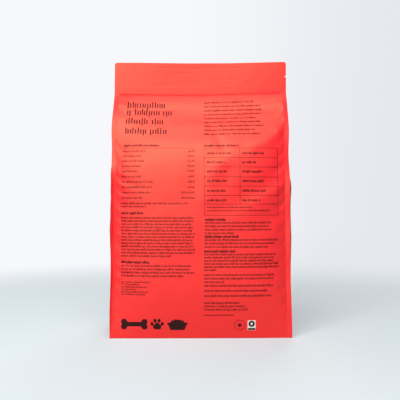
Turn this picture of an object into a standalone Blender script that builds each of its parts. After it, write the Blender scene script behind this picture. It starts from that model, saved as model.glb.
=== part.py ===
"""Pet food bag: a filled and closed flat-bottomed pouch of printed film.

Front, back and two gussets are sealed to each other along the four upright corners, where each seal
stands out as a flat fin. Above the zip the panels lie flat on each other as a header with a tear notch.
The closed bag is one solid. It is lofted through level outlines from the base to the top edge, because
those outlines differ in kind: a rectangle at the base, a cushion shape in the body, a shape with a deep
fold on each side in the shoulder and a thin strip in the header.
Front faces -Y, up is +Z, and the origin is on the shelf below the middle of the bag.
"""

import math

import bmesh
import bpy
from mathutils import Matrix, Vector

# Driving sizes, in metres
BAG_WIDTH = 0.216
BAG_HEIGHT = 0.337
GUSSET_WIDTH = 0.095
HEADER_HEIGHT = 0.0383
SHOULDER_HEIGHT = 0.110

# Corner seals
SEAL_WIDTH = 0.0055
SEAL_THICKNESS = 0.0007
SEAL_SPLAY = math.radians(8)
LEFT_SEAL_SPLAY = math.radians(11)
SEAL_WAVE = math.radians(5)
SEAL_WAVELENGTH = 0.062
SEAL_WAVE_SHIFT = 20.0

# Body
PANEL_BULGE = 0.0086
PANEL_SQUARENESS = 4.0
FILM_GIVE = 0.0008
RIGHT_LAG = 0.0
LEFT_LAG = 0.012
FOLD_FADE = 0.75
FOLD_HOLD = 3.0

# Header and zip
HEADER_THICKNESS = 0.0018
HEADER_SWAY = 0.0016
SWAY_RATE = 3.4
SWAY_START = 0.6
SWAY_TURN = 0.4
HEADER_SHRINK = 0.0005
TOP_EDGE_DIP = 0.0011
TOP_EDGE_SLOPE = 0.0006
ZIP_DIP = 0.0023
ZIP_SLOPE = 0.00105
DIP_OFFSET = 0.1
TOP_CORNER_RADIUS = 0.0028
ZIP_GROOVE_DEPTH = 0.00035
ZIP_GROOVE_HALF = 0.0008
ZIP_RIB_HEIGHT = 0.00025
ZIP_RIB_HALF = 0.0030
ZIP_RIB_RISE = 0.0080
LIP_GROOVE = 0.0008
SLOT_CLOSING = 0.0120

# Tear notch in the right edge of the header
NOTCH_DROP = 0.0180
NOTCH_DEPTH = 0.0026
NOTCH_HEIGHT = 0.0022

# Base
BASE_RADIUS = 0.0022
BASE_RIM = 0.0060
BASE_RISE = 0.0030
BASE_CALM = 0.038

# Points round each outline, outlines up each stretch, and how they crowd towards its ends
PANEL_STEPS = 26
PANEL_CROWDING = 1.2
LOBE_STEPS = 8
BODY_ROWS = 19
BODY_CROWDING = 0.9
SHOULDER_ROWS = 19
SHOULDER_CROWDING = 0.35
HEADER_ROWS = 3
CORNER_ROWS = 4

FILM_RED = (0.93, 0.045, 0.035, 1.0)
FILM_ROUGHNESS = 0.48

# Sizes worked out from the ones above
ZIP_HEIGHT = BAG_HEIGHT - HEADER_HEIGHT
BODY_TOP = ZIP_HEIGHT - SHOULDER_HEIGHT
HALF_WIDTH = BAG_WIDTH / 2
HALF_DEPTH = GUSSET_WIDTH / 2
HALF_PANEL = HALF_WIDTH - SEAL_WIDTH
HALF_HEADER = HEADER_THICKNESS / 2
HALF_SEAL = SEAL_THICKNESS / 2
FULL_DEPTH = HALF_DEPTH + PANEL_BULGE

# Soft folds in the film: where each starts and ends, as (share of the half width, share of the zip's
# height), then how far it stands out of the panel and how wide it is, as shares of the half width
FRONT_FOLDS = (
    ((0.95, 0.84), (0.10, 0.66), 0.014, 0.095),
    ((0.16, 0.67), (-0.02, 0.46), 0.010, 0.100),
    ((0.97, 0.69), (0.20, 0.50), -0.017, 0.105),
    ((0.92, 0.61), (0.30, 0.46), 0.011, 0.080),
    ((0.97, 0.54), (0.45, 0.39), -0.014, 0.090),
    ((0.24, 0.70), (0.48, 0.90), 0.009, 0.080),
    ((0.26, 0.74), (0.05, 0.92), -0.010, 0.070),
    ((-0.80, 0.70), (-0.10, 0.62), -0.009, 0.120),
    ((-0.97, 0.750), (-0.78, 0.730), -0.0093, 0.055),
    ((-0.97, 0.645), (-0.74, 0.615), -0.0093, 0.055),
    ((-0.97, 0.550), (-0.74, 0.520), -0.0093, 0.055),
    ((-0.97, 0.365), (-0.78, 0.345), -0.0093, 0.060),
    ((0.96, 0.975), (0.70, 0.900), -0.0093, 0.040),
    ((-0.96, 0.975), (-0.78, 0.920), -0.0083, 0.040),
)
BACK_FOLDS = (
    ((-0.95, 0.72), (-0.40, 0.58), -0.017, 0.095),
    ((-0.90, 0.80), (-0.30, 0.66), 0.009, 0.095),
    ((0.95, 0.70), (0.52, 0.60), -0.015, 0.080),
    ((0.95, 0.52), (0.60, 0.47), 0.009, 0.080),
    ((-0.96, 0.975), (-0.74, 0.905), -0.0083, 0.040),
    ((0.96, 0.975), (0.76, 0.915), -0.0083, 0.040),
    ((-0.10, 0.93), (0.15, 0.78), 0.0074, 0.130),
)

# How the form changes up the bag. Each pair starts with a height as a share of the zip's.
# How far the gusset's middle crease lies outside the corner seals' roots, as a share of half a gusset
CREASE_OUT = (
    (0.00, 0.02),
    (0.08, 0.12),
    (0.22, 0.148),
    (0.39, 0.112),
    (0.50, 0.064),
    (0.57, 0.034),
    (0.63, -0.012),
    (0.69, -0.215),
    (0.755, -0.51),
    (0.84, -0.75),
    (0.925, -0.93),
    (1.00, -0.96),
)
# Depth of the middle of the front and back panels, as a share of the fullest depth
PANEL_FORM = (
    (0.00, 0.860),
    (0.09, 0.930),
    (0.25, 1.0),
    (0.39, 0.999),
    (0.52, 0.987),
    (0.63, 0.957),
    (0.69, 0.905),
    (0.755, 0.783),
    (0.835, 0.537),
    (0.915, 0.283),
    (0.97, 0.107),
    (1.00, 0.0),
)
# Depth of the corner seals' roots, as a share of half a gusset
CORNER_FORM = (
    (0.00, 1.0),
    (0.16, 0.961),
    (0.38, 0.916),
    (0.52, 0.893),
    (0.63, 0.866),
    (0.755, 0.700),
    (0.84, 0.538),
    (0.925, 0.297),
    (0.975, 0.120),
    (1.00, 0.0),
)


def smooth_through(knots, at):
    """A curve through the knots that rises and falls only where they do."""
    if at <= knots[0][0]:
        return knots[0][1]
    if at >= knots[-1][0]:
        return knots[-1][1]
    runs = [b[0] - a[0] for a, b in zip(knots, knots[1:])]
    slopes = [(b[1] - a[1]) / run for a, b, run in zip(knots, knots[1:], runs)]
    tangents = [slopes[0]]
    for before, after in zip(slopes, slopes[1:]):
        tangents.append(2 * before * after / (before + after) if before * after > 0 else 0.0)
    tangents.append(slopes[-1])
    i = max(k for k in range(len(runs)) if knots[k][0] <= at)
    t = (at - knots[i][0]) / runs[i]
    start = (2 * t**3 - 3 * t**2 + 1) * knots[i][1] + (t**3 - 2 * t**2 + t) * runs[i] * tangents[i]
    end = (3 * t**2 - 2 * t**3) * knots[i + 1][1] + (t**3 - t**2) * runs[i] * tangents[i + 1]
    return start + end


def ease(t):
    t = min(1.0, max(0.0, t))
    return t * t * (3 - 2 * t)


def bump(distance, half_width):
    """1 on the middle of a rib or groove, and 0 from half_width outwards."""
    return 1 - ease(abs(distance) / half_width)


def corner_depth(z, lag):
    """How far the root of a corner seal lies from the middle plane. A side with a lag stays full that
    much further up, and meets the other one again at the zip."""
    z = max(0.0, z - lag * ease((ZIP_HEIGHT - z) / SLOT_CLOSING))
    return HALF_HEADER + (HALF_DEPTH - HALF_HEADER) * smooth_through(CORNER_FORM, z / ZIP_HEIGHT)


def panel_depth(z):
    """How far the flat middle of the front or back panel lies from the middle plane."""
    return HALF_HEADER + (FULL_DEPTH - HALF_HEADER) * smooth_through(PANEL_FORM, z / ZIP_HEIGHT)


def root_reach(z, lag):
    """How far the root of a corner seal lies from the bag's middle: less than half the panel where the
    panel bulges, because the film doesn't stretch."""
    bulge = panel_depth(z) - corner_depth(z, lag)
    power = PANEL_SQUARENESS
    return HALF_PANEL - bulge**2 * power**2 / (2 * HALF_PANEL * (2 * power - 1))


def fold_relief(folds, x, z):
    relief = 0.0
    spot = Vector((x, z))
    for start, end, height, width in folds:
        a = Vector((start[0] * HALF_WIDTH, start[1] * ZIP_HEIGHT))
        b = Vector((end[0] * HALF_WIDTH, end[1] * ZIP_HEIGHT))
        along = (spot - a).dot(b - a) / (b - a).length_squared
        nearest = a + (b - a) * min(1.0, max(0.0, along))
        fade = 1 - FOLD_FADE * ease(along)
        relief += height * fade * math.exp(-((spot - nearest).length / (width * HALF_WIDTH)) ** 2)
    return relief * HALF_WIDTH


def header_relief(x, z):
    """The zip's soft rib and the groove below it, which run between the side seals."""
    between_seals = 1 - ease((abs(x) - HALF_PANEL + SEAL_WIDTH / 2) / (SEAL_WIDTH / 2))
    groove = ZIP_GROOVE_DEPTH * bump(z - ZIP_HEIGHT, 2 * ZIP_GROOVE_HALF)
    rib = ZIP_RIB_HEIGHT * bump(z - ZIP_HEIGHT - ZIP_RIB_RISE, 2 * ZIP_RIB_HALF)
    return (rib - groove) * between_seals


def header_hang(x, z):
    """How far the shoulder and header hang below their right end."""
    share = x / HALF_WIDTH
    up_header = min(1.0, max(0.0, (z - ZIP_HEIGHT) / HEADER_HEIGHT))
    slope = ZIP_SLOPE + (TOP_EDGE_SLOPE - ZIP_SLOPE) * up_header
    dip = ZIP_DIP + (TOP_EDGE_DIP - ZIP_DIP) * up_header
    hang = slope * (1 - share) + dip * math.cos(math.pi / 2 * (share + DIP_OFFSET) / (1 + DIP_OFFSET)) ** 2
    return hang * ease((z - BODY_TOP) / SHOULDER_HEIGHT)


def panel_points(z, folds, lags):
    """A panel's outer face from its left seal to its right one, as if it faced -Y. The lags are those of
    its left and right sides."""
    calm = ease((ZIP_HEIGHT - z) / SLOT_CLOSING) * ease(z / BASE_CALM)
    points = []
    for step in range(1, PANEL_STEPS):
        share = math.sin(PANEL_CROWDING * (2 * step / PANEL_STEPS - 1)) / math.sin(PANEL_CROWDING)
        lag = lags[0] + (lags[1] - lags[0]) * (share + 1) / 2
        x = share * root_reach(z, lag)
        corner = corner_depth(z, lag)
        held = 1 - abs(share) ** PANEL_SQUARENESS
        out = corner + (panel_depth(z) - corner) * held + header_relief(x, z)
        out += fold_relief(folds, x, z) * calm * min(1.0, FOLD_HOLD * held)
        points.append((x, -out))
    return points


def side_points(z, lag, splay):
    """The right-hand side from the front panel round to the crease: the front seal's fin, then one lobe
    of the gusset. The last point is the crease itself. A lag lets the gusset stay full further up."""
    reach = root_reach(z, lag)
    depth = corner_depth(z, lag)
    closed = ease((z - ZIP_HEIGHT + SLOT_CLOSING) / SLOT_CLOSING)
    angle = splay + SEAL_WAVE * math.sin(2 * math.pi * z / SEAL_WAVELENGTH + SEAL_WAVE_SHIFT * splay)
    angle *= (1 - closed) * ease(z / BASE_CALM)
    along = Vector((math.cos(angle), -math.sin(angle)))
    across = Vector((math.sin(angle), math.cos(angle))) * HALF_SEAL
    root = Vector((reach, -depth + HALF_SEAL * closed))
    tip = root + along * SEAL_WIDTH
    lip = tip + across - along * LIP_GROOVE / 2
    inner = (root + across).lerp(lip, closed)
    out = smooth_through(CREASE_OUT, max(0.0, z - lag) / ZIP_HEIGHT) * HALF_DEPTH
    crease = Vector((reach + out, 0.0)).lerp(Vector((tip.x - LIP_GROOVE, 0.0)), closed)
    span = crease - inner
    slack = max(0.0, HALF_DEPTH - FILM_GIVE - span.length) * (1 - closed)
    sag = math.sqrt(3 * span.length * slack / 8)
    outward = Vector((span.y, -span.x)).normalized()
    points = [root - across, tip - across, tip + across, inner]
    for step in range(1, LOBE_STEPS):
        t = step / LOBE_STEPS
        point = inner + span * t + outward * sag * 4 * t * (1 - t)
        point.y = min(point.y, crease.y - HALF_SEAL * (1 - t))
        points.append(point)
    return [tuple(p) for p in points] + [tuple(crease)]


def flipped(points, x_sign, y_sign):
    """The points on another side of the bag. One mirror alone would turn the outline round, so it also
    reverses their order."""
    moved = [(x_sign * x, y_sign * y) for x, y in points]
    return moved if x_sign == y_sign else moved[::-1]


def outline(z):
    """One level outline, anticlockwise from above: front, right side, back, left side."""
    front = panel_points(z, FRONT_FOLDS, (LEFT_LAG, RIGHT_LAG))
    back = panel_points(z, BACK_FOLDS, (RIGHT_LAG, LEFT_LAG))
    front_right = side_points(z, RIGHT_LAG, SEAL_SPLAY)
    back_right = side_points(z, RIGHT_LAG, SEAL_SPLAY / 2)
    front_left = side_points(z, LEFT_LAG, LEFT_SEAL_SPLAY)
    back_left = side_points(z, LEFT_LAG, SEAL_SPLAY / 3)
    points = front + front_right + flipped(back_right[:-1], 1, -1)
    points += flipped(back, -1, -1)
    points += flipped(back_left, -1, -1) + flipped(front_left[:-1], -1, 1)
    return points


def heights():
    """The heights of the outlines, closest together where the form changes fastest."""
    rows = [BASE_RADIUS * (1 - math.cos(math.pi / 2 * k / 3)) for k in range(4)]
    for k in range(1, BODY_ROWS + 1):
        share = (k / BODY_ROWS) ** BODY_CROWDING
        rows.append(BASE_RADIUS + (BODY_TOP - BASE_RADIUS) * share)
    soft_top = ZIP_HEIGHT - 2 * ZIP_GROOVE_HALF
    for k in range(1, SHOULDER_ROWS + 1):
        share = k / SHOULDER_ROWS
        crowded = share * (1 + SHOULDER_CROWDING * (1 - share))
        rows.append(BODY_TOP + (soft_top - BODY_TOP) * crowded)
    rows += [ZIP_HEIGHT + ZIP_GROOVE_HALF * k for k in (-1, 0, 1, 2)]
    rows += [ZIP_HEIGHT + ZIP_RIB_RISE + ZIP_RIB_HALF * k for k in (-1.3, -0.6, 0, 0.6, 1.3, 2)]
    header_start = rows[-1]
    corner_start = BAG_HEIGHT - TOP_CORNER_RADIUS
    for k in range(1, HEADER_ROWS + 1):
        rows.append(header_start + (corner_start - header_start) * k / HEADER_ROWS)
    for k in range(1, CORNER_ROWS + 1):
        rows.append(corner_start + TOP_CORNER_RADIUS * math.sin(math.pi / 2 * k / CORNER_ROWS))
    return rows


def placed(x, y, z):
    """A point of an outline with the round of the base, the sway of the header and its hang."""
    if z < BASE_RADIUS:
        inset = BASE_RADIUS - math.sqrt(BASE_RADIUS**2 - (BASE_RADIUS - z) ** 2)
        x *= 1 - inset / HALF_WIDTH
        y *= 1 - inset / HALF_DEPTH
    rise = max(0.0, z - BAG_HEIGHT + TOP_CORNER_RADIUS)
    x *= 1 - (TOP_CORNER_RADIUS - math.sqrt(TOP_CORNER_RADIUS**2 - rise**2)) / HALF_WIDTH
    up_header = min(1.0, max(0.0, (z - ZIP_HEIGHT) / HEADER_HEIGHT))
    share = x / HALF_WIDTH
    x -= HEADER_SHRINK * up_header * share
    y += HEADER_SWAY * up_header * (math.sin(SWAY_RATE * share + SWAY_START) - SWAY_TURN * share)
    return Vector((x, y, z - header_hang(x, z)))


def lofted_film():
    """The closed film as one mesh: a quad between each pair of neighbouring points of two outlines."""
    mesh = bpy.data.meshes.new("bag")
    build = bmesh.new()
    rings = []
    for z in heights():
        rings.append([build.verts.new(placed(x, y, z)) for x, y in outline(z)])
    for low, high in zip(rings, rings[1:]):
        for k in range(len(low)):
            after = (k + 1) % len(low)
            build.faces.new((low[k], low[after], high[after], high[k]))
    build.faces.new(rings[0][::-1])
    build.faces.new(rings[-1])
    bmesh.ops.triangulate(build, faces=[f for f in build.faces if len(f.verts) > 4], ngon_method="BEAUTY")
    bmesh.ops.recalc_face_normals(build, faces=build.faces)
    build.to_mesh(mesh)
    build.free()
    return mesh


def film_material():
    material = bpy.data.materials.new("red_film")
    material.use_nodes = True
    shader = material.node_tree.nodes["Principled BSDF"]
    shader.inputs["Base Color"].default_value = FILM_RED
    shader.inputs["Roughness"].default_value = FILM_ROUGHNESS
    shader.inputs["Metallic"].default_value = 0.0
    return material


def collection_named(name):
    made = bpy.data.collections.new(name)
    bpy.context.scene.collection.children.link(made)
    return made


def cutter(name, build, cutters):
    mesh = bpy.data.meshes.new(name)
    bmesh.ops.recalc_face_normals(build, faces=build.faces)
    build.to_mesh(mesh)
    build.free()
    made = bpy.data.objects.new(name, mesh)
    made.hide_render = True
    made.display_type = "WIRE"
    cutters.objects.link(made)
    return made


def tear_notch(cutters):
    """A three-sided bar that runs through the header from front to back, with one edge pointing into
    the bag."""
    build = bmesh.new()
    wide = NOTCH_DEPTH + SEAL_WIDTH
    tall = NOTCH_HEIGHT * wide / NOTCH_DEPTH
    long = 8 * HEADER_THICKNESS
    aim = Matrix.Rotation(-math.pi / 2, 4, "Y") @ Matrix.Rotation(math.pi / 2, 4, "X")
    size = Matrix.Diagonal((wide / 1.5, long, tall / math.sqrt(3), 1.0))
    place = Matrix.Translation((HALF_WIDTH - NOTCH_DEPTH + wide / 1.5, 0.0, BAG_HEIGHT - NOTCH_DROP))
    bmesh.ops.create_cone(
        build, cap_ends=True, segments=3, radius1=1.0, radius2=1.0, depth=1.0, matrix=place @ size @ aim
    )
    return cutter("tear_notch_cutter", build, cutters)


def base_hollow(cutters):
    """A low hipped roof. The base panel rises to its creases inside the rim that the bag stands on."""
    build = bmesh.new()
    long_side = HALF_PANEL - BASE_RIM
    short_side = HALF_DEPTH - BASE_RIM
    corners = bmesh.ops.create_cube(build, size=2.0)["verts"]
    for v in corners:
        if v.co.z > 0:
            v.co = (v.co.x * (long_side - short_side), 0.0, BASE_RISE)
        else:
            v.co = (v.co.x * (long_side + short_side), v.co.y * 2 * short_side, -BASE_RISE)
    bmesh.ops.remove_doubles(build, verts=build.verts, dist=0.00001)
    return cutter("base_hollow_cutter", build, cutters)


def cut_away(target, tool):
    cut = target.modifiers.new(tool.name, "BOOLEAN")
    cut.operation = "DIFFERENCE"
    cut.solver = "EXACT"
    cut.object = tool


def centre_over_origin(mesh):
    """Puts the middle of the bag's box over the origin, as a bag placed square on a shelf."""
    xs = [v.co.x for v in mesh.vertices]
    ys = [v.co.y for v in mesh.vertices]
    shift = Vector((-(min(xs) + max(xs)) / 2, -(min(ys) + max(ys)) / 2, 0.0))
    mesh.transform(Matrix.Translation(shift))
    return shift


def main():
    for old in list(bpy.data.objects):
        bpy.data.objects.remove(old, do_unlink=True)
    parts = collection_named("pet_food_bag")
    cutters = collection_named("cutters")
    mesh = lofted_film()
    shift = centre_over_origin(mesh)
    mesh.materials.append(film_material())
    mesh.shade_smooth()
    mesh.set_sharp_from_angle(angle=math.radians(50))
    bag = bpy.data.objects.new("bag", mesh)
    parts.objects.link(bag)
    for tool in (tear_notch(cutters), base_hollow(cutters)):
        tool.data.transform(Matrix.Translation(shift))
        cut_away(bag, tool)


main()
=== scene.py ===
import bisect
import math
import random

import bmesh
import bpy
from mathutils import Matrix, Vector, noise
from mathutils.bvhtree import BVHTree


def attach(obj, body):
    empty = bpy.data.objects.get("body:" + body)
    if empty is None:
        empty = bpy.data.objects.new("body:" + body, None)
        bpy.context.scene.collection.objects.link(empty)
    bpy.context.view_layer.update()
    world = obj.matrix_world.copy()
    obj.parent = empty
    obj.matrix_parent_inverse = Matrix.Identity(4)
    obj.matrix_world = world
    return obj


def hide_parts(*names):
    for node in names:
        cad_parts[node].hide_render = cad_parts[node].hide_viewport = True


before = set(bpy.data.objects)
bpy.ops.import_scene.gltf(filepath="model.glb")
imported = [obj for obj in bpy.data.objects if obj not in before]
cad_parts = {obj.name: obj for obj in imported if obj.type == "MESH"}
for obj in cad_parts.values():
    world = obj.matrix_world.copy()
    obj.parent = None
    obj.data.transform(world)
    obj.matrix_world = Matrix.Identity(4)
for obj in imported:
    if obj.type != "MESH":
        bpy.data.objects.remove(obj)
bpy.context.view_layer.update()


# Camera and light

viewpoint = {
    "distance": 0.7462,   # from the bag's middle to the lens
    "height": 0.1632,
    "aside": -0.0006,     # how far the lens stands to the right of the bag's middle, so below 0 to the left
    "turn": 0.8,          # degrees that the bag is turned to its left
    "lens": 53.26,        # millimetres, as is the sensor's width
    "sensor": 36,
}

lamps = {
    # name: (place, size, watts, colour)
    "keySoftbox": ((-1.00, -1.30, 0.98), 0.45, 10.0, (1.0, 0.97, 0.93)),
    "topSoftbox": ((-0.10, -0.60, 1.05), 0.75, 11.5, (1.0, 0.96, 0.90)),
    "frontSoftbox": ((-0.36, -1.38, 0.68), 0.60, 7.6, (1.0, 0.96, 0.90)),
    "backSoftbox": ((0.45, 1.50, 0.80), 0.80, 14.0, (1.0, 0.97, 0.93)),
}
lampTarget = (0, 0, 0.17)
worldLight = {"colour": (0.84, 0.92, 1.0), "strength": 0.10}


def placeCamera():
    turn = math.radians(viewpoint["turn"])
    back, aside = viewpoint["distance"], viewpoint["aside"]
    data = bpy.data.cameras.new("photoCamera")
    data.sensor_width = viewpoint["sensor"]
    data.lens = viewpoint["lens"]
    camera = bpy.data.objects.new("photoCamera", data)
    camera.location = (
        aside * math.cos(turn) - back * math.sin(turn),
        -aside * math.sin(turn) - back * math.cos(turn),
        viewpoint["height"],
    )
    camera.rotation_euler = (math.pi / 2, 0, -turn)
    bpy.context.collection.objects.link(camera)
    bpy.context.scene.camera = camera
    print("camera placed")


def hangLamps():
    for name, (place, size, watts, colour) in lamps.items():
        data = bpy.data.lights.new(name, "AREA")
        data.shape = "SQUARE"
        data.size = size
        data.energy = watts
        data.color = colour
        lamp = bpy.data.objects.new(name, data)
        lamp.location = place
        aim = Vector(lampTarget) - lamp.location
        lamp.rotation_euler = aim.to_track_quat("-Z", "Y").to_euler()
        bpy.context.collection.objects.link(lamp)
    print(len(lamps), "lamps hung")


def lightWorld():
    world = bpy.data.worlds.new("studioWorld")
    world.use_nodes = True
    sky = world.node_tree.nodes["Background"]
    sky.inputs["Color"].default_value = (*worldLight["colour"], 1)
    sky.inputs["Strength"].default_value = worldLight["strength"]
    bpy.context.scene.world = world
    print("world lit")


# Materials

def srgb(red, green, blue):
    def linear(value):
        value /= 255
        return value / 12.92 if value <= 0.04045 else ((value + 0.055) / 1.055) ** 2.4
    return (linear(red), linear(green), linear(blue), 1)


def newMaterial(name):
    material = bpy.data.materials.new(name)
    material.use_nodes = True
    return material, material.node_tree, material.node_tree.nodes["Principled BSDF"]


def addNode(tree, kind, **values):
    made = tree.nodes.new(kind)
    for key, value in values.items():
        if key in made.inputs:
            made.inputs[key].default_value = value
        else:
            setattr(made, key, value)
    return made


mixSockets = {"one": 6, "other": 7, "result": 2}   # the colour sockets of a mix node


def mixColours(tree, one=None, other=None):
    mix = addNode(tree, "ShaderNodeMix", data_type="RGBA")
    for socket, colour in (("one", one), ("other", other)):
        if colour:
            mix.inputs[mixSockets[socket]].default_value = colour
    return mix


def cloudTone(tree, shader, place, look, one, other):   # base colour that drifts between two tones
    clouds = addNode(tree, "ShaderNodeTexNoise", Scale=look["cloudScale"], Detail=look["cloudDetail"])
    tone = mixColours(tree, one, other)
    tree.links.new(place.outputs["Object"], clouds.inputs["Vector"])
    tree.links.new(clouds.outputs["Fac"], tone.inputs["Factor"])
    tree.links.new(tone.outputs[mixSockets["result"]], shader.inputs["Base Color"])


filmFinish = {
    "red": (0.93, 0.019, 0.036, 1),
    "deepRed": (0.91, 0.017, 0.034, 1),
    "roughness": 0.50,
    "gloss": 0.70,
    "sheen": (1.0, 0.95, 0.44, 1),
    "cloudScale": 14.0,    # per metre, the slow change of tone
    "cloudDetail": 2.0,
    "grainScale": 1500.0,
    "grainDetail": 2.0,
    "grainDepth": 0.00002,
    "lumpScale": 95.0,     # the food felt through the film
    "lumpDepth": 0.00022,
    "lumpMelt": 0.8,
}


def filmMaterial():
    material, tree, shader = newMaterial("redFilm")
    look, link = filmFinish, tree.links.new
    place = addNode(tree, "ShaderNodeTexCoord")
    cloudTone(tree, shader, place, look, look["red"], look["deepRed"])
    grain = addNode(tree, "ShaderNodeTexNoise", Scale=look["grainScale"], Detail=look["grainDetail"])
    lumps = addNode(
        tree, "ShaderNodeTexVoronoi", feature="SMOOTH_F1", Scale=look["lumpScale"], Smoothness=look["lumpMelt"]
    )
    fine = addNode(tree, "ShaderNodeBump", Distance=look["grainDepth"])
    soft = addNode(tree, "ShaderNodeBump", Distance=look["lumpDepth"], invert=True)
    for texture in (grain, lumps):
        link(place.outputs["Object"], texture.inputs["Vector"])
    link(lumps.outputs["Distance"], soft.inputs["Height"])
    link(grain.outputs["Fac"], fine.inputs["Height"])
    link(soft.outputs["Normal"], fine.inputs["Normal"])
    link(fine.outputs["Normal"], shader.inputs["Normal"])
    shader.inputs["Roughness"].default_value = look["roughness"]
    shader.inputs["Specular IOR Level"].default_value = look["gloss"]
    shader.inputs["Specular Tint"].default_value = look["sheen"]
    return material


# The filled bag

bag = {
    "width": 0.216,
    "height": 0.337,
    "gusset": 0.095,
    "header": 0.0394,         # from the zip line to the top edge, at the right
    "shoulder": 0.110,
    "seal": 0.0055,
    "sealThick": 0.0006,
    "splay": math.radians(4),
    "leftSplay": math.radians(15),
    "curl": math.radians(-4),        # how much further a seal's outer part turns forward
    "leftCurl": math.radians(34),
    "curlRate": 1.5,
    "curlStart": 0.25,
    "turnEnd": 0.178,         # the corner seals stand so up to here, and lean back a little above
    "turnFade": 0.034,
    "leanBack": math.radians(11),
    "sealWave": math.radians(5),
    "waveLength": 0.062,
    "bulge": 0.0086,
    "squareness": 4.0,
    "give": 0.0008,
    "leftLag": 0.012,
    "rightLag": 0.0,
    "lagEnd": 0.045,          # stretch below the zip over which the lag fades
    "foldReach": 3,           # in widths of a fold
    "foldFade": 0.75,         # how much of a fold is lost towards its end
    "foldHold": 3,            # how soon the corner seals let the folds rise
    "baseCalm": 0.2,          # share of the body's height over which the folds rise from the base
    "slowRate": 16,           # soft lumps in the film, per metre, and their heights
    "slowHigh": 0.0009,
    "quickRate": 55,
    "quickHigh": 0.00034,
    "quickLane": 7,           # lanes and seeds only say where in the noise a form is read
    "pucker": 0.00055,        # small waves that the corner seals gather in the film
    "puckerLength": 0.0165,
    "puckerReach": 0.009,
    "puckerSlant": 0.5,
    "puckerLeast": 0.02,
    "puckerHold": 8,
    "puckerDrift": 0.6,
    "puckerChange": 0.9,
    "driftRate": 25,
    "changeRate": 40,
    "driftLane": 3.1,
    "changeLane": 8.3,
    "headerThick": 0.0016,
    "lineFade": 0.12,         # share of half the width over which a pressed line fades at its ends
    "lineHalf": 0.0012,
    "sway": 0.0016,
    "swayRate": 3.4,
    "swayStart": 0.6,
    "swayTurn": 0.4,
    "shrink": 0.0005,
    "zipSlope": 0.00105,
    "zipDip": 0.0023,
    "topSlope": 0.0006,
    "topDip": 0.0011,
    "dipOffset": 0.1,
    "topCorner": 0.0028,
    "grooveDeep": 0.00055,
    "grooveHalf": 0.0008,
    "ribHigh": 0.00008,
    "ribHalf": 0.0030,
    "ribRise": 0.0080,
    "lip": 0.0008,
    "closing": 0.012,         # stretch over which the gusset's slot closes
    "notchDrop": 0.0180,
    "notchDeep": 0.0024,
    "notchHigh": 0.0020,
    "baseRadius": 0.0008,
    "baseRim": 0.006,
    "baseRise": 0.003,
    "baseRings": 6,
    "panelSteps": 104,
    "lobeSteps": 20,
    "finSteps": 6,
    "rowStep": 0.0017,
    "baseRows": 4,
    "grooveRows": 3,
    "grooveClear": 2.4,
    "ribRows": 4,
    "headerRows": 40,
    "cornerRows": 6,
    "merge": 0.0002,
    "sliver": 0.000001,
    "sharpOver": math.radians(50),
}
seeds = {
    "front": 1.3, "rightFrontSeal": 2.1, "rightBackSeal": 3.7,
    "back": 4.9, "leftBackSeal": 5.2, "leftFrontSeal": 6.8,
}
zipHeight = bag["height"] - bag["header"]
bodyTop = zipHeight - bag["shoulder"]
halfWidth = bag["width"] / 2
halfDepth = bag["gusset"] / 2
halfPanel = halfWidth - bag["seal"]
halfHeader = bag["headerThick"] / 2
fullDepth = halfDepth + bag["bulge"]

# How the form changes up the bag, each as (share of the zip's height, share of the fullest). The crease's
# is how far it lies outside the corner seals, as a share of half the gusset
creaseOut = (
    (0.00, 0.02), (0.08, 0.12), (0.22, 0.148), (0.39, 0.112), (0.50, 0.064), (0.57, 0.034),
    (0.63, -0.012), (0.69, -0.215), (0.755, -0.51), (0.84, -0.75), (0.925, -0.93), (1.00, -0.96),
)
panelForm = (
    (0.00, 0.860), (0.09, 0.930), (0.25, 1.0), (0.39, 0.999), (0.52, 0.990), (0.63, 0.965),
    (0.69, 0.928), (0.755, 0.830), (0.835, 0.575), (0.915, 0.283), (0.97, 0.107), (1.00, 0.0),
)
cornerForm = (
    (0.00, 1.0), (0.16, 0.961), (0.38, 0.916), (0.52, 0.893), (0.63, 0.866),
    (0.755, 0.700), (0.84, 0.538), (0.925, 0.297), (0.975, 0.120), (1.00, 0.0),
)
# Height of a ripple in the gusset, and how often it comes across and up
ripples = ((0.0010, 1.6, 26), (0.0005, 5, 70))

# Folds: start and end as (share of half the width, share of the zip's height), then how far each
# stands out and how wide it is, as shares of half the width
frontFolds = (
    ((0.95, 0.84), (0.10, 0.66), 0.014, 0.095),
    ((1.00, 0.85), (0.76, 0.80), 0.010, 0.075),
    ((0.16, 0.67), (-0.02, 0.46), 0.010, 0.100),
    ((0.97, 0.69), (0.20, 0.50), -0.017, 0.105),
    ((0.92, 0.61), (0.30, 0.46), 0.011, 0.070),
    ((0.97, 0.54), (0.45, 0.39), -0.014, 0.090),
    ((0.24, 0.70), (0.48, 0.90), 0.009, 0.075),
    ((0.26, 0.74), (0.05, 0.92), -0.012, 0.050),
    ((-0.97, 0.750), (-0.78, 0.730), -0.0102, 0.050),
    ((-0.97, 0.550), (-0.74, 0.520), -0.0102, 0.050),
    ((-0.62, 0.930), (0.02, 0.940), -0.0060, 0.034),
    ((0.60, 0.930), (0.90, 0.925), -0.0080, 0.040),
)
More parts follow.
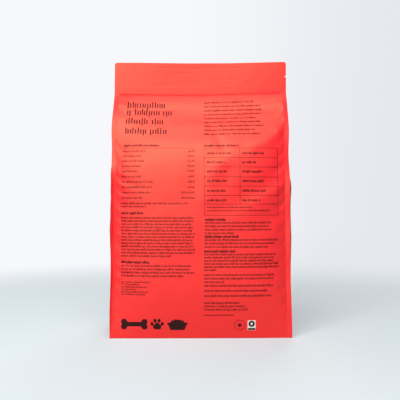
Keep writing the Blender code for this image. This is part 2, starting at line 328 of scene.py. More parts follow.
backFolds = (
    ((-0.95, 0.72), (-0.40, 0.58), -0.017, 0.095),
    ((-0.90, 0.80), (-0.30, 0.66), 0.009, 0.095),
    ((0.95, 0.70), (0.52, 0.60), -0.015, 0.075),
    ((0.95, 0.52), (0.60, 0.47), 0.009, 0.075),
    ((0.97, 0.62), (0.82, 0.61), -0.0083, 0.032),
    ((0.97, 0.38), (0.80, 0.39), -0.0083, 0.037),
    ((-0.97, 0.50), (-0.80, 0.49), -0.0083, 0.032),
    ((-0.97, 0.30), (-0.82, 0.31), -0.0083, 0.037),
    ((-0.96, 0.975), (-0.74, 0.905), -0.0083, 0.037),
    ((0.96, 0.975), (0.76, 0.915), -0.0083, 0.032),
    ((-0.10, 0.93), (0.15, 0.78), 0.0074, 0.130),
)


def smoothThrough(knots, at):
    if at <= knots[0][0]:
        return knots[0][1]
    if at >= knots[-1][0]:
        return knots[-1][1]
    runs = [b[0] - a[0] for a, b in zip(knots, knots[1:])]
    slopes = [(b[1] - a[1]) / run for a, b, run in zip(knots, knots[1:], runs)]
    tangents = [slopes[0]]
    for before, after in zip(slopes, slopes[1:]):
        tangents.append(2 * before * after / (before + after) if before * after > 0 else 0.0)
    tangents.append(slopes[-1])
    i = max(k for k in range(len(runs)) if knots[k][0] <= at)
    t = (at - knots[i][0]) / runs[i]
    start = (2 * t**3 - 3 * t**2 + 1) * knots[i][1] + (t**3 - 2 * t**2 + t) * runs[i] * tangents[i]
    end = (3 * t**2 - 2 * t**3) * knots[i + 1][1] + (t**3 - t**2) * runs[i] * tangents[i + 1]
    return start + end


def ease(t):
    t = min(1.0, max(0.0, t))
    return t * t * (3 - 2 * t)


def bump(distance, halfWide):
    return 1 - ease(abs(distance) / halfWide)


def cornerDepth(z, lag):
    z = max(0.0, z - lag * ease((zipHeight - z) / bag["lagEnd"]))
    return halfHeader + (halfDepth - halfHeader) * smoothThrough(cornerForm, z / zipHeight)


def panelDepth(z):
    return halfHeader + (fullDepth - halfHeader) * smoothThrough(panelForm, z / zipHeight)


def rootReach(z, lag):
    out = panelDepth(z) - cornerDepth(z, lag)
    power = bag["squareness"]
    return halfPanel - out**2 * power**2 / (2 * halfPanel * (2 * power - 1))


def foldRelief(folds, x, z):
    relief = 0.0
    for start, end, high, wide in folds:
        ax, az = start[0] * halfWidth, start[1] * zipHeight
        bx, bz = end[0] * halfWidth, end[1] * zipHeight
        dx, dz = bx - ax, bz - az
        along = ((x - ax) * dx + (z - az) * dz) / (dx * dx + dz * dz)
        near = min(1.0, max(0.0, along))
        away = math.hypot(x - ax - dx * near, z - az - dz * near) / (wide * halfWidth)
        if away < bag["foldReach"]:
            relief += high * halfWidth * (1 - bag["foldFade"] * ease(along)) * math.exp(-away * away)
    return relief


# Faint lines that the heat seal left across the header: how far below the top edge, left and right ends
# as shares of half the width, depth
headerLines = (
    (0.0062, -0.60, 0.50, 0.00016),
    (0.0125, -0.42, -0.02, 0.00013),
    (0.0205, 0.05, 0.55, 0.00011),
    (0.0275, -0.70, -0.15, 0.00010),
)


def headerRelief(x, z):
    lines, share = 0.0, x / halfWidth
    for down, left, right, deep in headerLines:
        along = ease((share - left) / bag["lineFade"]) * ease((right - share) / bag["lineFade"])
        lines += deep * along * bump(bag["height"] - down - z, bag["lineHalf"])
    inside = 1 - ease((abs(x) - halfPanel + bag["seal"] / 2) / (bag["seal"] / 2))
    groove = bag["grooveDeep"] * bump(z - zipHeight, 2 * bag["grooveHalf"])
    rib = bag["ribHigh"] * bump(z - zipHeight - bag["ribRise"], 2 * bag["ribHalf"])
    return (rib - groove) * inside - lines


def lumpy(x, z, seed):
    slow = noise.noise(Vector((x * bag["slowRate"], seed, z * bag["slowRate"])))
    quick = noise.noise(Vector((x * bag["quickRate"], seed + bag["quickLane"], z * bag["quickRate"])))
    return bag["slowHigh"] * slow + bag["quickHigh"] * quick


def puckered(gap, z, seed):   # gap is how far the point lies from the corner seal's root
    near = math.exp(-gap / bag["puckerReach"])
    if near < bag["puckerLeast"]:
        return 0.0
    drift = bag["puckerDrift"] * noise.noise(Vector((seed, bag["driftLane"], z * bag["driftRate"])))
    change = bag["puckerChange"] * noise.noise(Vector((seed, bag["changeLane"], z * bag["changeRate"])))
    waves = (z + bag["puckerSlant"] * gap) / bag["puckerLength"] + drift
    return bag["pucker"] * (1 + change) * near * math.sin(2 * math.pi * waves)


def panelPoints(z, folds, lags, seed):
    calm = ease((zipHeight - z) / bag["closing"]) * ease(z / (bag["baseCalm"] * bodyTop))
    points = []
    for step in range(1, bag["panelSteps"]):
        share = math.sin(math.pi / 2 * (2 * step / bag["panelSteps"] - 1))
        lag = lags[0] + (lags[1] - lags[0]) * (share + 1) / 2
        x = share * rootReach(z, lag)
        corner = cornerDepth(z, lag)
        held = 1 - abs(share) ** bag["squareness"]
        out = corner + (panelDepth(z) - corner) * held + headerRelief(x, z)
        folded = foldRelief(folds, x, z) + lumpy(x, z, seed)
        out += folded * calm * min(1.0, bag["foldHold"] * held)
        waves = puckered((1 - abs(share)) * halfPanel, z, seed + (1 if share > 0 else -1))
        out += waves * calm * min(1.0, bag["puckerHold"] * held)
        points.append((x, -out))
    return points


def sidePoints(z, lag, splay, curl, seed):   # front fin of the right-hand side, then half of its gusset
    depth = cornerDepth(z, lag)
    closed = ease((z - zipHeight + bag["closing"]) / bag["closing"])
    calm = (1 - closed) * ease(z / (bag["baseCalm"] * bodyTop))
    turned = 1 - ease((z - bag["turnEnd"]) / bag["turnFade"])
    splay, curl = splay * turned - bag["leanBack"] * (1 - turned), curl * turned
    angle = splay + bag["sealWave"] * math.sin(2 * math.pi * z / bag["waveLength"] + seed)
    count, half = bag["finSteps"], bag["sealThick"] / 2
    bends = [ease(bag["curlRate"] * (k + 0.5) / count - bag["curlStart"]) for k in range(count)]
    turns = [calm * (angle + curl * bend) for bend in bends]
    stretch = bag["seal"] * math.cos(calm * angle) / sum(math.cos(turn) for turn in turns)
    spine = [Vector((rootReach(z, lag), -depth + half * closed))]
    for turn in turns:
        spine.append(spine[-1] + Vector((math.cos(turn), -math.sin(turn))) * stretch)
    acrosses = [Vector((math.sin(turn), math.cos(turn))) * half for turn in turns[:1] + turns]
    tip, edge = spine[-1], spine[-1] + acrosses[-1]
    lip = edge + (spine[-2] - tip).normalized() * bag["lip"] / 2
    fin = [spot - across for spot, across in zip(spine, acrosses)]
    for k in range(count, -1, -1):
        fin.append((spine[k] + acrosses[k]).lerp(edge.lerp(lip, 1 - k / count), closed))
    out = smoothThrough(creaseOut, max(0.0, z - lag) / zipHeight) * halfDepth
    crease = Vector((spine[0].x + out, 0.0)).lerp(Vector((tip.x - bag["lip"], 0.0)), closed)
    span = crease - fin[-1]
    slack = max(0.0, halfDepth - bag["give"] - span.length) * (1 - closed)
    sag = math.sqrt(3 * span.length * slack / 8)
    outward = Vector((span.y, -span.x)).normalized()
    gusset = []
    for step in range(1, bag["lobeSteps"]):
        t = step / bag["lobeSteps"]
        ripple = sum(high * noise.noise(Vector((t * wide, seed, z * up))) for high, wide, up in ripples)
        swell = sag * 4 * t * (1 - t) + ripple * calm * math.sin(math.pi * t)
        point = fin[-1] + span * t + outward * swell
        point.y = min(point.y, crease.y - half * (1 - t))
        gusset.append(point)
    return [tuple(point) for point in fin + gusset + [crease]]


def flipped(points, xSign, ySign):
    moved = [(xSign * x, ySign * y) for x, y in points]
    return moved if xSign == ySign else moved[::-1]


def outline(z):   # from the front panel's left end to the right and round; the back seals turn less
    splay, curl = bag["splay"], bag["curl"]
    left, right = bag["leftLag"], bag["rightLag"]
    rightBack = sidePoints(z, right, splay / 2, curl / 2, seeds["rightBackSeal"])[:-1]
    leftFront = sidePoints(z, left, bag["leftSplay"], bag["leftCurl"], seeds["leftFrontSeal"])[:-1]
    points = panelPoints(z, frontFolds, (left, right), seeds["front"])
    points += sidePoints(z, right, splay, curl, seeds["rightFrontSeal"])
    points += flipped(rightBack, 1, -1)
    points += flipped(panelPoints(z, backFolds, (right, left), seeds["back"]), -1, -1)
    points += flipped(sidePoints(z, left, splay / 3, curl, seeds["leftBackSeal"]), -1, -1)
    points += flipped(leftFront, -1, 1)
    return points


def rowHeights():
    radius, corner = bag["baseRadius"], bag["topCorner"]
    steps = bag["baseRows"]
    rows = [radius * (1 - math.cos(math.pi / 2 * k / steps)) for k in range(steps + 1)]
    softTop = zipHeight - bag["grooveClear"] * bag["grooveHalf"]
    steps = round((softTop - radius) / bag["rowStep"])
    rows += [radius + (softTop - radius) * k / steps for k in range(1, steps + 1)]
    steps = bag["grooveRows"]
    rows += [zipHeight + bag["grooveHalf"] * k / steps for k in range(-2 * steps, 2 * steps + 1)]
    steps = bag["ribRows"]
    ribMiddle = zipHeight + bag["ribRise"]
    rows += [ribMiddle + bag["ribHalf"] * k / steps for k in range(1 - 2 * steps, 2 * steps + 1)]
    steps = bag["headerRows"]
    start, end = rows[-1], bag["height"] - corner
    rows += [start + (end - start) * k / steps for k in range(1, steps + 1)]
    steps = bag["cornerRows"]
    rows += [end + corner * math.sin(math.pi / 2 * k / steps) for k in range(1, steps + 1)]
    return rows


def bowOf(x, z):   # how far the header hangs below its right end
    share = x / halfWidth
    hang = ease((z - bodyTop) / bag["shoulder"])
    upHeader = min(1.0, max(0.0, (z - zipHeight) / bag["header"]))
    slope = bag["zipSlope"] + (bag["topSlope"] - bag["zipSlope"]) * upHeader
    dip = bag["zipDip"] + (bag["topDip"] - bag["zipDip"]) * upHeader
    offset = bag["dipOffset"]
    return hang * (slope * (share - 1) - dip * math.cos(math.pi / 2 * (share + offset) / (1 + offset)) ** 2)


def placed(x, y, z):
    if z < bag["baseRadius"]:
        inset = bag["baseRadius"] - math.sqrt(bag["baseRadius"] ** 2 - (bag["baseRadius"] - z) ** 2)
        x *= 1 - inset / halfWidth
        y *= 1 - inset / halfDepth
    rise = max(0.0, z - bag["height"] + bag["topCorner"])
    x *= 1 - (bag["topCorner"] - math.sqrt(bag["topCorner"] ** 2 - rise**2)) / halfWidth
    upHeader = min(1.0, max(0.0, (z - zipHeight) / bag["header"]))
    share = x / halfWidth
    x -= bag["shrink"] * upHeader * share
    waved = math.sin(bag["swayRate"] * share + bag["swayStart"]) - bag["swayTurn"] * share
    y += bag["sway"] * upHeader * waved
    fromNotch = abs(z - bag["height"] + bag["notchDrop"])
    notch = bag["notchDeep"] * max(0.0, 1 - fromNotch / (bag["notchHigh"] / 2))
    if notch > 0:
        x = min(x, halfWidth - bag["shrink"] - notch)
    return Vector((x, y, z + bowOf(x, z)))


def drawOn(build, edges, places):   # one more ring of film from an open ring of edges
    drawn = bmesh.ops.extrude_edge_only(build, edges=edges)["geom"]
    ring = [part for part in drawn if isinstance(part, bmesh.types.BMVert)]
    for vert, place in zip(ring, places):
        vert.co = place
    fresh = set(ring)
    lines = [part for part in drawn if isinstance(part, bmesh.types.BMEdge)]
    return [line for line in lines if fresh.issuperset(line.verts)], ring


def basePlaces(points, share):   # share runs from the rim, 0, to the ridge of the hollow, 1
    longSide, shortSide = halfPanel - bag["baseRim"], halfDepth - bag["baseRim"]
    places = []
    for x, y in points:
        x = max(-halfPanel, min(halfPanel, x)) * longSide / halfPanel
        y *= shortSide / halfDepth
        ridge = max(shortSide - longSide, min(longSide - shortSide, x))
        places.append(Vector((x + (ridge - x) * share, y * (1 - share), bag["baseRise"] * share)))
    return places


def loftFilm():   # one ring of points drawn up the bag row by row, then the hollow base inside the first
    build = bmesh.new()
    rows = rowHeights()
    first = outline(rows[0])
    ring = bmesh.ops.create_circle(build, segments=len(first), radius=1)["verts"]
    for vert, (x, y) in zip(ring, first):
        vert.co = placed(x, y, rows[0])
    edges = rim = list(build.edges)
    for z in rows[1:]:
        edges, ring = drawOn(build, edges, [placed(x, y, z) for x, y in outline(z)])
    build.faces.new(ring)
    for k in range(bag["baseRings"] + 1):
        rim, ridge = drawOn(build, rim, basePlaces(first, k / bag["baseRings"]))
    bmesh.ops.remove_doubles(build, verts=ridge, dist=bag["merge"])
    bmesh.ops.dissolve_degenerate(build, edges=build.edges, dist=bag["sliver"])
    bmesh.ops.recalc_face_normals(build, faces=build.faces)
    print("film", len(build.verts), "points", len(build.faces), "faces")
    return build


def finished(name, build, material):
    mesh = bpy.data.meshes.new(name)
    build.to_mesh(mesh)
    build.free()
    mesh.shade_smooth()
    mesh.materials.append(material)
    made = bpy.data.objects.new(name, mesh)
    bpy.context.collection.objects.link(made)
    return made


def makeBag():
    build = loftFilm()
    made = finished("filledBag", build, filmMaterial())
    made.data.set_sharp_from_angle(angle=bag["sharpOver"])
    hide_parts("bag")
    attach(made, "root")
    print("bag made")
    return made


# Print on the front panel. Places are in millimetres: across from the middle, then down the film from
# the zip line

ink = {
    "black": (0.026, 0.007, 0.007, 1),
    "faded": (0.040, 0.009, 0.009, 1),
    "white": (0.86, 0.85, 0.83, 1),
    "dirtyWhite": (0.80, 0.78, 0.75, 1),
    "roughness": 0.50,
    "gloss": 0.12,
    "cloudScale": 260.0,
    "cloudDetail": 3.0,
    "lift": 0.12,       # how far the print's face stands off the film
    "sink": 0.05,       # how far its edge reaches into the film
    "rayStart": -0.3,   # metres, from where the print is dropped onto the film
    "downStep": 0.0005,
    "seed": 11,
}
perMetre = 1000         # the print's millimetres

strokes = {
    "risers": (0, 0, 0, 0.38),    # how far a stroke may rise or drop, as shares of the x-height
    "droppers": (0, 0, 0, 0, 0, 0, 0, 0.32),
    "uneven": (0.86, 1.14),       # least and greatest step
    "corner": 0.4,                # of the headline's strokes
    "cornerSteps": 3,
    "cuts": (-2.4, 0, 2.4),       # across the headline's strokes, which let them follow the film
    "rulePiece": 2,
}

letters = {
    # style: x-height, stroke, step from stroke to stroke, space between words, strokes in a word
    "small": (1.9, 0.42, 0.80, 0.75, (3, 12)),
    "tiny": (1.5, 0.36, 0.72, 0.65, (3, 11)),
    "row": (2.0, 0.41, 0.82, 0.75, (3, 12)),
    "note": (2.3, 0.60, 0.94, 0.90, (3, 12)),
    "heading": (2.4, 0.74, 1.06, 0.85, (7, 15)),
    "value": (2.1, 0.45, 0.95, 0.30, (4, 6)),
    "headline": (7.2, 1.6, 3.0, 0.0, (40, 41)),
}

# style, first line's middle, step from line to line, left end, right ends
textBlocks = (
    ("headline", 17.4, 0, -90.4, (-42.0,)),
    ("headline", 29.3, 0, -90.4, (-85.0,)),
    ("headline", 29.3, 0, -81.0, (-48.5,)),
    ("headline", 29.3, 0, -46.3, (-33.4,)),
    ("headline", 44.2, 0, -91.0, (-62.6,)),
    ("headline", 44.2, 0, -59.4, (-43.6,)),
    ("headline", 60.1, 0, -91.2, (-65.0,)),
    ("headline", 60.1, 0, -61.4, (-41.0,)),
    ("heading", 81.9, 0, -92.0, (-48.0,)),
    ("row", 89.6, 6.3, -93.7, (-65.3, -70.4, -67.2, -69.1, -74.3, -69.4, -56.1, -57.2, -58.3, -68.5)),
    ("value", 89.6, 6.3, -15.7, (-7.4,) * 8),
    ("value", 140.0, 6.3, -23.4, (-7.4,) * 2),
    ("small", 152.8, 3.6, -94.8, (-14.3, -64.0)),
    ("heading", 164.3, 0, -94.0, (-67.6,)),
    (
        "small", 169.7, 3.71, -94.3,
        (-8.2, -8.9, -11.5, -9.6, -9.8, -7.2, -8.4, -9.9, -8.6, -8.8, -6.9, -8.2, -34.5),
    ),
    ("heading", 221.7, 0, -93.8, (-60.0,)),
    ("small", 225.8, 3.93, -93.9, (-11.0, -13.5, -6.5, -20.8)),
    ("tiny", 244.9, 2.9, -88.5, (-60.0, -71.5)),
    ("tiny", 250.7, 2.9, -93.8, (-63.5, -77.0, -62.0, -65.5)),
    ("note", 12.3, 6.48, 4.2, (66.0, 74.5, 75.5, 75.2, 68.5, 73.0, 77.5, 65.2, 72.3)),
    ("heading", 82.3, 0, 3.6, (44.9,)),
    ("note", 92.6, 11.3, 6.7, (35.3, 28.2, 30.4, 30.2, 29.0, 31.3)),
    ("note", 92.6, 11.3, 48.2, (75.8, 64.9, 73.0, 75.2, 76.9, 70.2)),
    ("tiny", 157.3, 3.8, 6.7, (61.0, 81.0)),
    ("heading", 171.8, 0, 4.3, (29.5,)),
    ("small", 175.3, 4.1, 4.3, (82.7, 81.4, 82.7, 38.7)),
    ("heading", 191.6, 0, 4.3, (44.6,)),
    ("small", 195.4, 4.1, 4.3, (90.9, 86.6, 79.1)),
    ("heading", 208.8, 0, 3.6, (41.0,)),
    ("small", 212.4, 3.64, 3.6, (88.0, 85.6, 84.4, 91.4, 92.5, 17.5)),
    ("small", 236.4, 4.1, 3.6, (85.6, 85.6, 27.0)),
    ("small", 248.9, 6.0, 3.6, (84.9, 76.9, 83.3)),
    ("small", 269.4, 4.0, 3.6, (45.7, 51.8, 55.1)),
    ("tiny", 284.0, 0, 3.6, (38.7,)),
)

# ends and width of each rule
rules = (
    ((-92.4, 85.4), (-6.6, 85.4), 0.45),
    ((3.6, 85.5), (91.2, 85.5), 0.40),
    ((3.6, 98.1), (91.2, 98.1), 0.40),
    ((3.6, 109.6), (91.2, 109.6), 0.40),
    ((3.6, 121.5), (91.2, 121.5), 0.40),
    ((3.6, 132.3), (91.2, 132.3), 0.40),
    ((3.6, 143.3), (91.2, 143.3), 0.40),
    ((3.6, 153.4), (91.2, 153.4), 0.40),
    ((3.6, 166.4), (91.2, 166.4), 0.40),
    ((3.6, 85.5), (3.6, 166.4), 0.40),
    ((91.2, 85.5), (91.2, 166.4), 0.45),
    ((45.6, 85.5), (45.6, 153.4), 0.40),
)

# Round-ended bars that make up each picture: ends and radius, about the picture's own middle
bone = (
    (-9.5, 0, 9.5, 0, 2.3),
    (-11.0, -2.7, -11.0, -2.7, 3.1), (-11.0, 2.7, -11.0, 2.7, 3.1),
    (11.0, -2.7, 11.0, -2.7, 3.1), (11.0, 2.7, 11.0, 2.7, 3.1),
)
paw = (
    (-1.8, 3.4, 1.8, 3.4, 2.5), (0, 1.4, 0, 1.4, 2.6),
    (-5.6, -0.6, -5.3, 0.3, 1.5), (-2.2, -4.1, -2.1, -3.2, 1.6),
    (2.2, -4.1, 2.1, -3.2, 1.6), (5.6, -0.6, 5.3, 0.3, 1.5),
)
bowl = (
    (-9.6, -0.6, 9.6, -0.6, 1.2), (-7.6, 1.4, 7.6, 1.4, 1.6), (-7.0, 3.2, 7.0, 3.2, 1.6),
    (-6.5, 4.9, 6.5, 4.9, 1.4), (-5.2, -2.6, -5.2, -2.6, 1.7), (-1.9, -3.6, -1.9, -3.6, 1.9),
    (1.7, -3.3, 1.7, -3.3, 1.8), (5.0, -2.5, 5.0, -2.5, 1.7),
)

# bars, how far they melt together, scale, middle, reach of the patch, its step
petRow = (
    (bone, 0.8, 1.1, (-78.6, 294.8), (17, 8), 0.7),
    (paw, 0.3, 1.1, (-51.6, 294.4), (9, 8), 0.5),
    (bowl, 0.8, 1.1, (-27.8, 294.8), (13, 8), 0.6),
)
smallPaw = {"bars": paw, "melt": 0.3, "shrink": 2.8, "middle": (45.3, 296.0), "reach": (3.2, 3.2), "step": 0.25}

# middle, radius, half the stroke, reach of the patch, its step
tableRing = ((-92.0, 246.2), 1.4, 0.22, (1.9, 1.9), 0.2)
markRing = ((45.3, 296.0), 6.1, 0.15, (7, 7), 0.3)
labelRing = ((59.5, 294.6), 2.6, 1.05, (4, 4), 0.4)

# middle, half width, half height, corner radius, reach of the patch, its step
labelBox = ((59.5, 296.4), 4.75, 6.0, 0.5, (5.5, 6.7), 0.7)
labelBar = ((59.5, 300.9), 4.3, 1.1, 0.3, (4.6, 1.4), 0.4)


def filmDown():   # length down the middle of the front panel, and the height that it reaches
    table = [(0.0, zipHeight)]
    while table[-1][1] > 0:
        length, z = table[-1]
        below = max(0.0, z - ink["downStep"])
        table.append((length + math.hypot(z - below, panelDepth(z) - panelDepth(below)), below))
    return table


def inkMaterial(name, one, other):
    material, tree, shader = newMaterial(name)
    cloudTone(tree, shader, addNode(tree, "ShaderNodeTexCoord"), ink, one, other)
    shader.inputs["Roughness"].default_value = ink["roughness"]
    shader.inputs["Specular IOR Level"].default_value = ink["gloss"]
    return material


def block(build, left, right, top, bottom):
    corners = ((left, top), (left, bottom), (right, bottom), (right, top))
    return build.faces.new([build.verts.new((u, 0, -v)) for u, v in corners])


def wordStrokes(build, dice, style, middle, left, right):   # upright strokes in groups, in place of words
    tall, stroke, step, space, count = letters[style]
    u, word = left, dice.randint(*count)
    while u + stroke <= right:
        up = dice.choice(strokes["risers"]) * tall
        down = dice.choice(strokes["droppers"]) * tall
        block(build, u, u + stroke, middle - tall / 2 - up, middle + tall / 2 + down)
        u += step * dice.uniform(*strokes["uneven"])
        word -= 1
        if word == 0:
            u, word = u + space, dice.randint(*count)


def ruleStrip(build, start, end, wide):
    a, b = (Vector((u, 0, -v)) for u, v in (start, end))
    turn = Matrix.Rotation(math.atan2(a.z - b.z, b.x - a.x), 4, "Y")
    size = Matrix.Diagonal(((b - a).length / 2, 1, wide / 2, 1))
    flat = Matrix.Rotation(math.pi / 2, 4, "X")
    pieces = round((b - a).length / strokes["rulePiece"])
    place = Matrix.Translation((a + b) / 2) @ turn @ size @ flat
    bmesh.ops.create_grid(build, x_segments=pieces, y_segments=1, size=1, matrix=place)


def barGap(u, v, bars, melt):   # distance outside the joined bars, less than 0 inside
    gap = 100.0   # farther than any bar
    for au, av, bu, bv, radius in bars:
        run = Vector((bu - au, bv - av))
        spot = Vector((u - au, v - av))
        along = min(1.0, max(0.0, spot.dot(run) / run.length_squared)) if run.length_squared else 0.0
        here = (spot - run * along).length - radius
        mix = max(0.0, melt - abs(gap - here)) / melt
        gap = min(gap, here) - mix * mix * melt / 4
    return gap


def ringGap(u, v, radius, half):
    return abs(math.hypot(u, v) - radius) - half


def boxGap(u, v, halfWide, halfHigh, radius):
    du, dv = abs(u) - halfWide + radius, abs(v) - halfHigh + radius
    return math.hypot(max(du, 0), max(dv, 0)) + min(max(du, dv), 0) - radius


def stencil(build, middle, reach, step, gap):   # a patch of small squares whose edge is drawn onto gap = 0
    place = Matrix.Rotation(math.pi / 2, 4, "X") @ Matrix.Diagonal((*reach, 1, 1))
    wide, high = (math.ceil(2 * side / step) for side in reach)
    grid = bmesh.ops.create_grid(build, x_segments=wide, y_segments=high, size=1, matrix=place)
    sheet = grid["verts"]
    outside = {vert: gap(vert.co.x, -vert.co.z) for vert in sheet}
    faces = {face for vert in sheet for face in vert.link_faces}
    spare = [face for face in faces if all(outside[vert] > 0 for vert in face.verts)]
    bmesh.ops.delete(build, geom=spare, context="FACES")
    kept = [vert for vert in sheet if vert.is_valid]
    for vert in kept:
        far = outside[vert]
        if far > 0:
            u, v, tiny = vert.co.x, -vert.co.z, 0.01
            slope = Vector((gap(u + tiny, v) - far, 0, far - gap(u, v + tiny))) / tiny
            vert.co -= slope.normalized() * far
    bmesh.ops.translate(build, verts=kept, vec=(middle[0], 0, -middle[1]))


def addPicture(build, bars, melt, scale, middle, reach, step):
    stencil(build, middle, reach, step, lambda u, v: barGap(u / scale, v / scale, bars, melt))


def addRing(build, middle, radius, half, reach, step):
    stencil(build, middle, reach, step, lambda u, v: ringGap(u, v, radius, half))


def addBox(build, middle, halfWide, halfHigh, corner, reach, step):
    stencil(build, middle, reach, step, lambda u, v: boxGap(u, v, halfWide, halfHigh, corner))


def addSmallPaw(build):
    bars, melt, shrink = smallPaw["bars"], smallPaw["melt"], smallPaw["shrink"]
    stencil(
        build, smallPaw["middle"], smallPaw["reach"], smallPaw["step"],
        lambda u, v: barGap(shrink * u, shrink * v, bars, melt) / shrink,
    )


def layOnFilm(name, build, skin, table, material, extra=0.0):   # from the flat onto the film, extra above it
    drawn = bmesh.ops.extrude_face_region(build, geom=build.faces[:])["geom"]
    faced = {part for part in drawn if isinstance(part, bmesh.types.BMVert)}
    lengths = [row[0] for row in table]
    for vert in build.verts:
        x, down = vert.co.x / perMetre, -vert.co.z / perMetre
        k = max(1, min(len(table) - 1, bisect.bisect_left(lengths, down)))
        (before, high), (after, low) = table[k - 1], table[k]
        z = high + (low - high) * (down - before) / (after - before)
        start = Vector((x, ink["rayStart"], z + bowOf(x, z)))
        spot, normal = skin.ray_cast(start, Vector((0, 1, 0)))[:2]
        off = ink["lift"] + extra if vert in faced else extra - ink["sink"]
        vert.co = spot + normal * off / perMetre
    bmesh.ops.recalc_face_normals(build, faces=build.faces)
    print(name, len(build.faces), "faces")
    made = finished(name, build, material)
    made.data.shade_flat()
    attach(made, "root")


def makePrint(film):
    surface = bmesh.new()
    surface.from_mesh(film.data)
    skin = BVHTree.FromBMesh(surface)
    surface.free()
    table = filmDown()
    black = inkMaterial("blackInk", ink["black"], ink["faded"])
    white = inkMaterial("whiteInk", ink["white"], ink["dirtyWhite"])
    dice = random.Random(ink["seed"])

    small, large = bmesh.new(), bmesh.new()
    for style, middle, step, left, rights in textBlocks:
        for row, right in enumerate(rights):
            into = large if style == "headline" else small
            wordStrokes(into, dice, style, middle + step * row, left, right)
    bmesh.ops.bevel(
        large, geom=large.verts[:], affect="VERTICES", offset=strokes["corner"],
        segments=strokes["cornerSteps"], profile=0.5, material=-1,
    )
    for middle in sorted({line[1] for line in textBlocks if line[0] == "headline"}):
        for across in strokes["cuts"]:
            parts = large.verts[:] + large.edges[:] + large.faces[:]
            bmesh.ops.bisect_plane(large, geom=parts, plane_co=(0, 0, -middle - across), plane_no=(0, 0, 1))
    layOnFilm("smallPrint", small, skin, table, black)
    layOnFilm("headlinePrint", large, skin, table, black)

    lines = bmesh.new()
    for rule in rules:
        ruleStrip(lines, *rule)
    addRing(lines, *tableRing)
    layOnFilm("tableRules", lines, skin, table, black)

    pictures = bmesh.new()
    for picture in petRow:
        addPicture(pictures, *picture)
    layOnFilm("petPictures", pictures, skin, table, black)

    mark = bmesh.new()
    addRing(mark, *markRing)
    addSmallPaw(mark)
    layOnFilm("ringMark", mark, skin, table, black)

    label, onLabel = bmesh.new(), bmesh.new()
    addBox(label, *labelBox)
    layOnFilm("whiteLabel", label, skin, table, white)
    addRing(onLabel, *labelRing)
    addBox(onLabel, *labelBar)
    layOnFilm("labelPrint", onLabel, skin, table, black, ink["lift"])


# Round studio of pale paper: floor, cove and wall in one

studio = {
    "radius": 3.2,
    "cove": 0.8,
    "coveSteps": 12,
    "high": 4.0,
    "turnSteps": 96,
    "merge": 1e-6,
    "paper": (0.66, 0.78, 0.83, 1),
    "roughness": 0.9,
    "unseen": srgb(150, 152, 156),        # the paper's tone in the light that it throws on the bag
    "nearLeft": srgb(229, 236, 243),      # what the camera sees of the near paper besides its real shade; painted shade makes it darker towards the right
    "nearRightPaintedShade": srgb(209, 213, 220),
    # painted shade: the far paper is darker on the right than on the left, as if the light fell from the left
    "leftTone": srgb(247, 248, 252),
    "rightPaintedShade": srgb(229, 232, 237),
    "nearAcross": (-0.8, 0.8),            # from left to right over a heading of length 1
    "toneAcross": (-0.06, 0.40),
    "toneAway": (0.25, 0.90),             # metres from the bag over which the near tones pass into the others
    "shadeAway": (0.34, 0.85),            # and over which the shade on the paper fades out
    "glow": 0.42,
}


def mapRange(tree, span, **values):
    made = addNode(tree, "ShaderNodeMapRange", **values)
    made.inputs["From Min"].default_value, made.inputs["From Max"].default_value = span
    return made


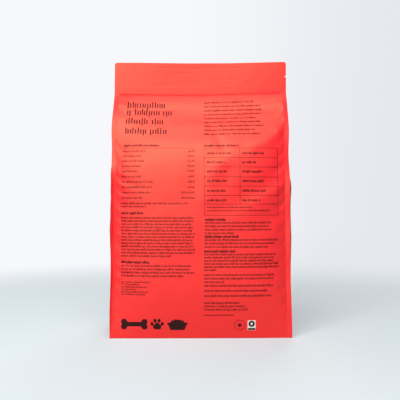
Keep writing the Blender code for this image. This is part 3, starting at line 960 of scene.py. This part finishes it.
def paperMaterial():
    material, tree, shader = newMaterial("palePaper")
    shader.inputs["Base Color"].default_value = studio["paper"]
    shader.inputs["Roughness"].default_value = studio["roughness"]
    place = addNode(tree, "ShaderNodeTexCoord")
    distance = addNode(tree, "ShaderNodeVectorMath", operation="LENGTH")
    heading = addNode(tree, "ShaderNodeVectorMath", operation="NORMALIZE")
    parts = addNode(tree, "ShaderNodeSeparateXYZ")
    slant = mapRange(tree, studio["nearAcross"])
    across = mapRange(tree, studio["toneAcross"], interpolation_type="SMOOTHSTEP")
    away = mapRange(tree, studio["toneAway"], interpolation_type="SMOOTHSTEP")
    fade = mapRange(tree, studio["shadeAway"], interpolation_type="SMOOTHSTEP")
    fade.inputs["To Min"].default_value = studio["glow"]
    # painted shade: near the bag, the paper's glow darkens from left to right, standing in for the key light
    # falling from the left
    nearPaintedShade = mixColours(tree, studio["nearLeft"], studio["nearRightPaintedShade"])
    # painted shade: far off, the paper's glow darkens from left to right
    farPaintedShade = mixColours(tree, studio["leftTone"], studio["rightPaintedShade"])
    tone = mixColours(tree)
    glow = addNode(tree, "ShaderNodeEmission")
    rays = addNode(tree, "ShaderNodeLightPath")
    seen = addNode(tree, "ShaderNodeMath", operation="MAXIMUM")
    share = addNode(tree, "ShaderNodeMath", operation="MULTIPLY")
    lit = addNode(tree, "ShaderNodeMixShader")
    dim = addNode(tree, "ShaderNodeBsdfDiffuse", Color=studio["unseen"])
    both = addNode(tree, "ShaderNodeMixShader")
    result = mixSockets["result"]
    for giver, output, taker, socket in (
        (place, "Object", distance, 0), (place, "Object", heading, 0), (heading, "Vector", parts, "Vector"),
        (parts, "X", slant, "Value"), (slant, "Result", nearPaintedShade, "Factor"),
        (parts, "X", across, "Value"), (across, "Result", farPaintedShade, "Factor"),
        (distance, "Value", away, "Value"), (away, "Result", tone, "Factor"),
        (nearPaintedShade, result, tone, mixSockets["one"]), (farPaintedShade, result, tone, mixSockets["other"]),
        (tone, result, glow, "Color"), (distance, "Value", fade, "Value"),
        (rays, "Is Camera Ray", seen, 0), (rays, "Is Glossy Ray", seen, 1), (seen, "Value", both, "Fac"),
        (rays, "Is Camera Ray", share, 0), (fade, "Result", share, 1), (share, "Value", lit, "Fac"),
        (shader, "BSDF", lit, 1), (glow, "Emission", lit, 2),
        (dim, "BSDF", both, 1), (lit, "Shader", both, 2),
        (both, "Shader", tree.nodes["Material Output"], "Surface"),
    ):
        tree.links.new(giver.outputs[output], taker.inputs[socket])
    return material


def makeStudio():
    build = bmesh.new()
    radius, cove, steps = studio["radius"], studio["cove"], studio["coveSteps"]
    profile = [(0.0, 0.0)]
    for k in range(steps + 1):
        turn = math.pi / 2 * k / steps
        profile.append((radius - cove + cove * math.sin(turn), cove - cove * math.cos(turn)))
    profile.append((radius, studio["high"]))
    line = [build.verts.new((0, y, z)) for y, z in profile]
    edges = [build.edges.new(pair) for pair in zip(line, line[1:])]
    bmesh.ops.spin(
        build, geom=line + edges, cent=(0, 0, 0), axis=(0, 0, 1), angle=math.tau, steps=studio["turnSteps"],
        use_merge=True,
    )
    bmesh.ops.remove_doubles(build, verts=build.verts, dist=studio["merge"])
    bmesh.ops.recalc_face_normals(build, faces=build.faces)
    bmesh.ops.reverse_faces(build, faces=build.faces)
    finished("paperRoom", build, paperMaterial())
    print("studio made")


bpy.context.scene.view_settings.view_transform = "Standard"
placeCamera()
hangLamps()
lightWorld()
makeStudio()
makePrint(makeBag())
